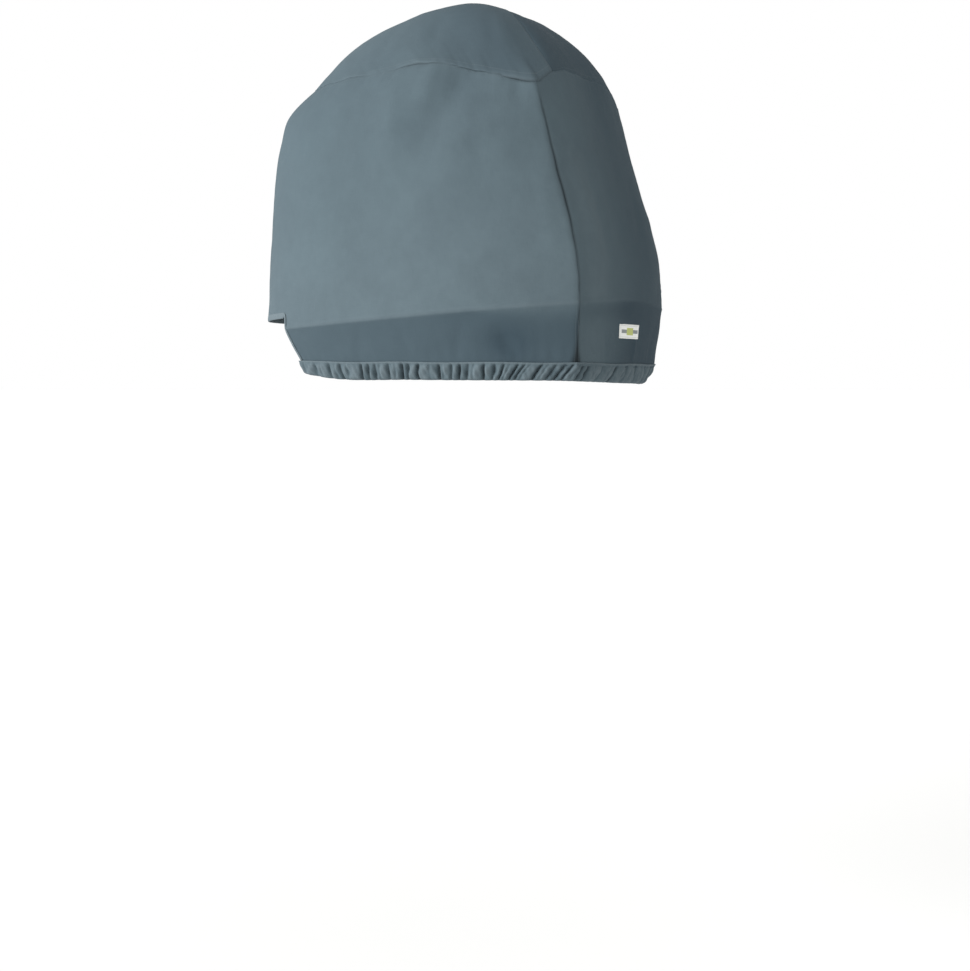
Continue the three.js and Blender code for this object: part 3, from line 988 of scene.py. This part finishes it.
def softened(places, us, vs):
    # rounds off the line across the panel at the corners of the walls, but leaves its edges
    blur = topPanel["blur"]
    weight = bell(vs - vs.T, blur["reach"])
    weight /= weight.sum(axis=1, keepdims=True)
    rounded = np.einsum("ij,jkl->ikl", weight, places)
    inside = np.minimum(vs - vs[0], vs[-1] - vs) / blur["edge"]
    within = np.minimum(us - us[:, :1], us[:, -1:] - us) / blur["side"]
    share = unit(inside) * unit(within)
    return mix(places, rounded, eased(share)[..., None])


def makeTopPanel():
    width = 2.0 * topPanel["halfWidth"]
    length = topRows * topPanel["rowLength"]
    us, depthU = alongEdge([0.0, width], topPanel["cell"], True, True)
    vs, depthV = alongEdge([0.0, length], topPanel["cell"], True, True)
    across = us / topPanel["halfWidth"] - 1.0
    places = np.array([topPlaces(across, v / topPanel["rowLength"]) for v in vs])
    us, vs = net(us, vs)
    places = softened(places, us, vs)
    fromSide, fromEnd = np.minimum(us, width - us), np.minimum(vs, length - vs)
    lips = capLips(places[..., 0], np.sign(places[..., 1]))
    rise = topPanel["edgeRise"]
    relief = foldRelief(places[..., [0, 1]], topFolds) + unevenRelief(places)
    relief += edgeStep(fromSide, rise) + edgeStep(fromEnd, rise)
    atSides, atEnds = topPanel["phases"]
    relief += puckers(vs, fromSide, phase=atSides) + puckers(us, fromEnd, phase=atEnds)
    relief += lips * bell(fromSide, topPanel["lipReach"])
    rubbed = topPanel["rubbed"]
    wearAndHighlight = np.clip(rubbed["least"] + rubbed["byLip"] * lips, 0.0, rubbed["most"])
    marks = {
        "fromSide": fromSide,
        "fromEnd": fromEnd,
        "wearAndHighlight": wearAndHighlight * np.exp(-np.minimum(fromSide, fromEnd) / rubbed["reach"]),
        # painted shade, more abaft the crown
        "paintedShade": topPanel["paintedShade"] + np.interp(vs / length, topPanel["aft"], topPanel["aftShade"]),
    }
    depthU, depthV = net(depthU, depthV)
    alongSides = capDepth(depthU, places[..., 0], np.sign(places[..., 1]))
    cap = np.maximum(alongSides, capDepth(depthV, 0.0, 0))
    makePanel("top_panel", places, us, vs, relief, np.zeros_like(cap), cap, marks, topPanel["sheet"])


makeTopPanel()

noStitches = 100.0  # farther from an edge than its stitches are
yoke = {
    "cell": 4.4,
    "width": 330.0,
    "height": 150.0,
    "tip": 0.985,
    "lowRise": 0.1,
    "highRise": -0.9,
    "phase": 9.0,
    # painted shade over the whole yoke
    "paintedShade": 0.75,
    "sheet": {"flat": (0.30, 0.20), "area": 0.048},
}


def makeYoke():
    us, depthU = alongEdge([0.0, yoke["width"]], yoke["cell"], False, False)
    vs, depthV = lappedEdge([0.0, yoke["height"]], yoke["cell"], True)
    across = (us / yoke["width"] * 2.0 - 1.0) * yoke["tip"]
    places = np.array([yokePlaces(across, v / yoke["height"]) for v in vs])
    us, vs = net(us, vs)
    fromEnd = np.minimum(vs, np.abs(yoke["height"] - vs))
    relief = unevenRelief(places) + edgeStep(yoke["height"] - vs, yoke["highRise"])
    relief += edgeStep(vs, yoke["lowRise"])
    relief += puckers(us, fromEnd, phase=yoke["phase"]) * (1.0 - np.abs(across) ** 3)
    marks = {"fromSide": noStitches, "fromEnd": fromEnd, "wearAndHighlight": 0.0, "paintedShade": yoke["paintedShade"]}
    shown = np.where(vs < yoke["height"] / 2, capSeam["depth"] * capSeam["calm"], 1.0)
    cap = depthV[:, None] * shown * np.ones_like(us)
    makePanel("back_yoke", places, us, vs, relief, np.zeros_like(cap), cap, marks, yoke["sheet"])


makeYoke()

# Gathered casing: how wide each gather is, from the port end of the casing on, and how deep the slit
# before it is. On the starboard side they come once more, in the other order.
gathers = {
    "width": [45, 38, 28, 50, 16, 16, 31, 29, 13, 22, 44, 25, 16, 16]
    + [33, 21, 17, 27, 13, 34, 26, 16, 15, 26, 19, 48, 57, 47],
    "slit": [0, 1, 3, 4, 5, 4, 3, 3, 6, 3, 6, 6, 3, 6, 3, 6, 3, 5, 6, 4, 6, 3, 4, 5, 6, 7, 2, 6],
    "middleSlit": 2.0,
    "slitWidth": 3.0,
    "swell": 1.8,
    "swellByWidth": 0.11,
    "largestSwell": 5.6,
    "roundness": 0.7,
    "skew": (0.75, 1.25),
    "hang": 1.3,
    "crease": {"depth": 2.3, "reach": 2.6, "from": 0.3, "spread": 0.4, "inWiderThan": 24.0},
    "lean": {"most": 19.0, "from": 420.0, "over": 110.0, "turnsBack": 40.0},
}
casing = {
    "cell": 1.7,
    "rows": 42,
    "samples": 3000,
    "drop": 1.4,
    "overlap": 8.0,
    "length": 70.0,
    "thickness": 1.2,
    # the section, from the stitched edge down, round the elastic and up inside again
    "turn": [0.0, 0.03, 0.06, 0.12, 0.16, 0.24, 0.38, 0.54, 0.68, 0.76, 0.82, 0.89, 1.0],
    "down": [0.02, 0.0, 0.03, 0.11, 0.15, 0.27, 0.48, 0.73, 0.92, 1.0, 1.0, 0.88, 0.35],
    "out": [1.3, 2.1, 2.5, 2.3, 1.5, 1.4, 1.7, 1.7, 1.2, -1.2, -4.0, -5.6, -5.0],
    "share": [0.0, 0.0, 0.05, 0.15, 0.45, 0.85, 1.0, 1.0, 0.85, 0.55, 0.3, 0.15, 0.1],
    "stitchedAt": 0.13,
    # small wandering of its stitched edge, and of the gathers on their way down
    "edgeWave": {"high": 0.6, "length": 31.0},
    "wander": table("high growth twist length", (1.4, 1, 2.6, 41.0), (0.9, 0, 5.0, 17.0)),
    "crumple": {"height": 1.1, "size": 10.0, "stretch": 13.0, "seed": 21, "count": 10},
    # the folds of the panels go on in it, and fade on the way down
    "foldsFade": 0.7,
    "backFrom": 300.0,
    # at its aft corner on the starboard side it hangs lower and farther in
    "slack": {"station": 38.0, "reach": 5.0, "drop": 6.0, "pull": 9.0},
    # painted shade in the slits and a little all over, painted highlights on the crests and along the
    # stitched edge
    "slitTone": {"tone": 0.6, "from": 0.2, "over": 3.0},
    "crestTone": {"tone": 0.75, "from": 1.6, "over": 3.75},
    "edgeHighlight": {"highlight": 0.75, "turn": 0.07, "reach": 0.06},
    "paintedShade": 0.02,
    "sheet": {"flat": (1.76, 0.07), "held": "gathered"},
}


def scattered(index, step):
    # a share from 0 to 1 for each gather, in no order that shows
    return np.mod(index * step, 1.0)


def gatherRelief(distance, total):
    # the swelling between the slits, the slits' depth and the hang, at distances along the casing
    half = np.concatenate(([0.0], np.cumsum(gathers["width"])))
    half = half / half[-1] * total / 2
    ends = np.concatenate((half, total - half[-2::-1]))
    slits = np.array(gathers["slit"] + [gathers["middleSlit"]] + gathers["slit"][::-1], float)
    index = np.clip(np.searchsorted(ends, distance, side="right") - 1, 0, len(ends) - 2)
    low, high = ends[index], ends[index + 1]
    width = high - low
    phase = unit((distance - low) / width)
    skew = mix(*gathers["skew"], scattered(index, 0.618))
    lobe = np.maximum(np.sin(math.pi * phase**skew), 0.0) ** gathers["roundness"]
    swell = np.minimum(gathers["swell"] + gathers["swellByWidth"] * width, gathers["largestSwell"])
    crease = gathers["crease"]
    fromCrease = (phase - crease["from"] - crease["spread"] * scattered(index, 0.37)) * width
    creased = crease["depth"] * bell(fromCrease, crease["reach"]) * (width > crease["inWiderThan"])
    groove = slits[index] * bell(distance - low, gathers["slitWidth"])
    groove = groove + slits[index + 1] * bell(distance - high, gathers["slitWidth"])
    return swell * lobe - creased, groove, gathers["hang"] * lobe


def leanOf(distance, total):
    # how far the slits lean from top to bottom, towards the bow on both sides
    lean = gathers["lean"]
    fromEnd = np.minimum(distance, total - distance)
    turn = np.clip((total / 2 - distance) / lean["turnsBack"], -1.0, 1.0)
    return lean["most"] * eased((fromEnd - lean["from"]) / lean["over"]) * turn


def levelWay(reach, station, step=0.2):
    # the level way outwards from an outline in plan
    ahead = np.stack(planPlaces(reach, station + step), axis=-1)
    ahead = ahead - np.stack(planPlaces(reach, station - step), axis=-1)
    return unitWay(np.stack([ahead[:, 1], -ahead[:, 0]], axis=-1))


def makeCasing():
    start = notchStation + notch["slant"] - casing["overlap"] / sidePitch
    samples = np.linspace(start, allStations - start, casing["samples"])
    walked = walkedAlong(np.stack(planPlaces(casingTop, samples), axis=-1))
    total = walked[-1]
    us = np.linspace(0.0, total, round(total / casing["cell"]) + 1)
    turns = np.linspace(1.0, 0.0, casing["rows"])
    section = [smooth(casing["turn"], casing[name])(turns) for name in ("down", "out", "share")]
    slant = leanOf(us, total)
    crumple, slack, edgeWave = casing["crumple"], casing["slack"], casing["edgeWave"]
    rows, slits, crests = [], [], []
    for down, out, share in zip(*section):
        wander = sum(
            wave["high"] * down ** wave["growth"] * np.sin(wave["twist"] * down + us / wave["length"])
            for wave in casing["wander"]
        )
        swell, groove, hang = gatherRelief(us + wander, total)
        leaning = us - slant * down
        station = np.interp(leaning, walked, samples)
        soft = softTwin(station)
        limp = down * bell(station - slack["station"], slack["reach"])
        top = casingTopLine(soft) - casing["drop"] + edgeWave["high"] * np.sin(us / edgeWave["length"])
        height = mix(top, casingBottomLine(soft) - hang * share, down) - slack["drop"] * limp
        reach = mixReach(casingTop, casingBottom, down)
        row = placesAt(*planPlaces(reach, station), height)
        onBack = row[..., 0] > casing["backFrom"]
        folds = sideRelief(row) + foldRelief(row[..., [1, 2]], backFolds) * onBack + unevenRelief(row)
        wrinkled = placesAt(leaning, 0.0, crumple["stretch"] * down)
        wrinkles = crumple["height"] * waves(wrinkled, crumple["size"], crumple["seed"], crumple["count"])
        risen = swell - groove + wrinkles
        far = out + risen * share + folds * (1.0 - casing["foldsFade"] * down) - slack["pull"] * limp
        row[:, :2] += levelWay(reach, station) * far[:, None]
        rows.append(row)
        # painted shade in the slits and painted highlights on the crests
        slits.append(toneBy(groove - swell, casing["slitTone"]) * min(share * 1.4, 1.0))
        crests.append(toneBy(risen, casing["crestTone"]) * share)
    us, turns = net(us, turns)
    edge = casing["edgeHighlight"]
    marks = {
        "fromSide": noStitches,
        "fromEnd": np.abs(turns - casing["stitchedAt"]) * casing["length"] + stitchInset,
        "wearAndHighlight": np.maximum(edge["highlight"] * bell(turns - edge["turn"], edge["reach"]), crests),
        "groove": np.array(slits),
        "paintedShade": casing["paintedShade"],
    }
    mesh = gridMesh("hem_casing", np.array(rows), us, (1.0 - turns) * casing["length"], marks)
    dress("hem_casing", mesh, casing["thickness"], "canvas_trim", **casing["sheet"])


makeCasing()

# Binding round the cut away front: a tape folded over the panels' edge
binding = {
    "cell": 4.0,
    # the section, from its outer side round the free edge to its inner side
    "away": [-4.0, -1.0, 2.0, 5.0, 7.3, 8.0, 7.3, 5.0, 2.0, -1.0, -4.0],
    "out": [0.95, 1.35, 1.7, 1.7, 1.2, 0.0, -1.2, -1.7, -1.7, -1.35, -0.95],
    "steps": 31,
    "stepLength": 2.7,
    "stitchedAt": -1.5,
    "thickness": 0.7,
    # places taken along its line, up to the belt, on up to the corner and across the bow
    "rowsBelow": 28,
    "rowsAbove": 10,
    "rowsAcross": 160,
    "roundings": 3,
    "sheet": {"flat": (1.0, 0.026), "held": "stretched"},
}


def makeBinding():
    aftEdge = np.array([float(notchStation)])
    below = np.linspace(-bandLength, 0.0, binding["rowsBelow"])
    above = np.linspace(0.0, notch["lift"], binding["rowsAbove"])
    up = np.vstack([wallPlaces(aftEdge, rise) for rise in (*below, *above[1:])])
    over = wallPlaces(np.linspace(notchStation, 0.0, binding["rowsAcross"])[1:], notch["lift"])
    half = np.vstack([up, over])
    line = np.vstack([half, half[-2::-1] * np.array([1.0, -1.0, 1.0])])
    walked = walkedAlong(line)
    us = np.linspace(0.0, walked[-1], round(walked[-1] / binding["cell"]) + 1)
    line = np.stack([np.interp(us, walked, line[:, i]) for i in range(3)], axis=-1)
    for _ in range(binding["roundings"]):
        line[1:-1] = (line[:-2] + 2.0 * line[1:-1] + line[2:]) / 4.0
    tangent = unitWay(np.gradient(line, us, axis=0))
    outwards = line * np.array([1.0, 1.0, 0.0])
    outwards = unitWay(outwards - tangent * np.sum(outwards * tangent, axis=1, keepdims=True))
    away = np.cross(outwards, tangent)
    line = line + outwards * (unevenRelief(line) + sideRelief(line))[:, None]
    steps = np.linspace(0.0, len(binding["away"]) - 1.0, binding["steps"])
    section = [smooth(range(len(binding[name])), binding[name])(steps) for name in ("away", "out")]
    crossAway, crossOut = section
    places = line[None] + crossAway[:, None, None] * away[None] + crossOut[:, None, None] * outwards[None]
    marks = {
        "fromSide": noStitches,
        "fromEnd": np.abs(crossAway - binding["stitchedAt"])[:, None] + stitchInset,
        # a painted highlight all along the tape
        "wearAndHighlight": 1.0,
        "groove": 0.0,
    }
    mesh = gridMesh("notch_binding", places, *net(us, steps * binding["stepLength"]), marks)
    dress("notch_binding", mesh, binding["thickness"], "canvas_trim", **binding["sheet"])


makeBinding()

backLabel = {
    "middleStation": 29.7,
    "height": 94.0,
    "lift": 1.9,
    "thickness": 0.8,
    "columns": 61,
    "rows": 21,
    "rounding": {"depth": 0.7, "reach": 1.5},
    "stitching": {"depth": 0.35, "inset": 3.0, "reach": 1.0},
    "unevenness": {"height": 0.25, "size": 26.0, "seed": 31},
    "sheet": {"flat": (0.09, 0.03), "held": "stretched"},
}


def makeBackLabel():
    halfWidth, halfHeight = labelLook["halfWidth"], labelLook["halfHeight"]
    us = np.linspace(-halfWidth, halfWidth, backLabel["columns"])
    vs = np.linspace(-halfHeight, halfHeight, backLabel["rows"])
    stationWidth = casingTop["seamY"] / (backMiddle - aftSeam)
    station = backLabel["middleStation"] + us / stationWidth
    low, high = casingTopLine(backMiddle), beltLine(backMiddle)
    rises = bandLength * ((backLabel["height"] + vs - low) / (high - low) - 1.0)
    places = np.array([wallPlaces(station, rise) for rise in rises])
    us, vs = net(us, vs)
    places[..., 2] = backLabel["height"] + vs
    edge = np.minimum(halfWidth - np.abs(us), halfHeight - np.abs(vs))
    rounding, stitching, uneven = (backLabel[name] for name in ("rounding", "stitching", "unevenness"))
    lift = backLabel["lift"] - rounding["depth"] * np.exp(-edge / rounding["reach"])
    lift -= stitching["depth"] * bell(edge - stitching["inset"], stitching["reach"])
    lift += uneven["height"] * waves(places, uneven["size"], uneven["seed"])
    lift += unevenRelief(places) + foldRelief(places[..., [1, 2]], backFolds)
    shaped = places + outwardsOf(places, us, vs) * lift[..., None]
    mesh = gridMesh("back_label", shaped, us, vs, {})
    dress("back_label", mesh, backLabel["thickness"], "label", **backLabel["sheet"])


makeBackLabel()

# The camera stands at the photograph's place: level with the hem, 27 degrees aft of square on
view = {
    "turn": 27.0,
    "distance": 3.6,
    "aside": 0.04,
    "height": -0.746,
    "tilt": 3.43,
    "lens": 65.25,
    "sensor": 36.0,
    "farthest": 200.0,
}


def makeCamera():
    camera = bpy.data.cameras.new("camera")
    camera.lens = view["lens"]
    camera.sensor_width = view["sensor"]
    camera.clip_end = view["farthest"]
    turn = math.radians(view["turn"])
    back, right = (math.sin(turn), -math.cos(turn)), (math.cos(turn), math.sin(turn))
    plan = [view["distance"] * b + view["aside"] * r for b, r in zip(back, right)]
    holder = newObject("camera", camera)
    holder.location = (plan[0], plan[1], view["height"])
    holder.rotation_euler = (math.radians(90.0 - view["tilt"]), 0.0, turn)
    bpy.context.scene.camera = holder


makeCamera()

studio = {
    "floorHeight": -1.90,
    "floorColour": (0.85, 0.85, 0.84),
    "floorRoughness": 0.9,
    "floorHalf": 300.0,
    "ambient": 0.80,
    "backdrop": 1.0,
    # the sun's turn counts from square on to the port side, and is negative towards the bow
    "sun": {"strength": 5.1, "angle": 72.0, "turn": -44.0, "rise": 12.0},
}


def makeStudio():
    bm = bmesh.new()
    bmesh.ops.create_grid(bm, x_segments=8, y_segments=8, size=studio["floorHalf"])
    mesh = bpy.data.meshes.new("floor")
    bm.to_mesh(mesh)
    bm.free()
    floor = newObject("floor", mesh)
    floor.location.z = studio["floorHeight"]
    look = {"Base Color": rgba(studio["floorColour"]), "Roughness": studio["floorRoughness"]}
    floor.data.materials.append(newMaterial("paleFloor", look)[0])
    floor.visible_shadow = False  # the broad sun is partly below the horizon
    sunlight = studio["sun"]
    sun = bpy.data.lights.new("softSun", "SUN")
    sun.energy = sunlight["strength"]
    sun.angle = math.radians(sunlight["angle"])
    holder = newObject("softSun", sun)
    holder.rotation_euler = (math.radians(90.0 - sunlight["rise"]), 0.0, math.radians(sunlight["turn"]))
    world = bpy.data.worlds.new("studio")
    bpy.context.scene.world = world
    world.use_nodes = True
    background = world.node_tree.nodes["Background"]
    background.inputs["Color"].default_value = (1.0, 1.0, 1.0, 1.0)
    seen = Wire(world.node_tree).make("ShaderNodeLightPath")
    (seen * (studio["backdrop"] - studio["ambient"]) + studio["ambient"]).to(background, "Strength")
    bpy.context.scene.view_settings.view_transform = "Standard"


makeStudio()
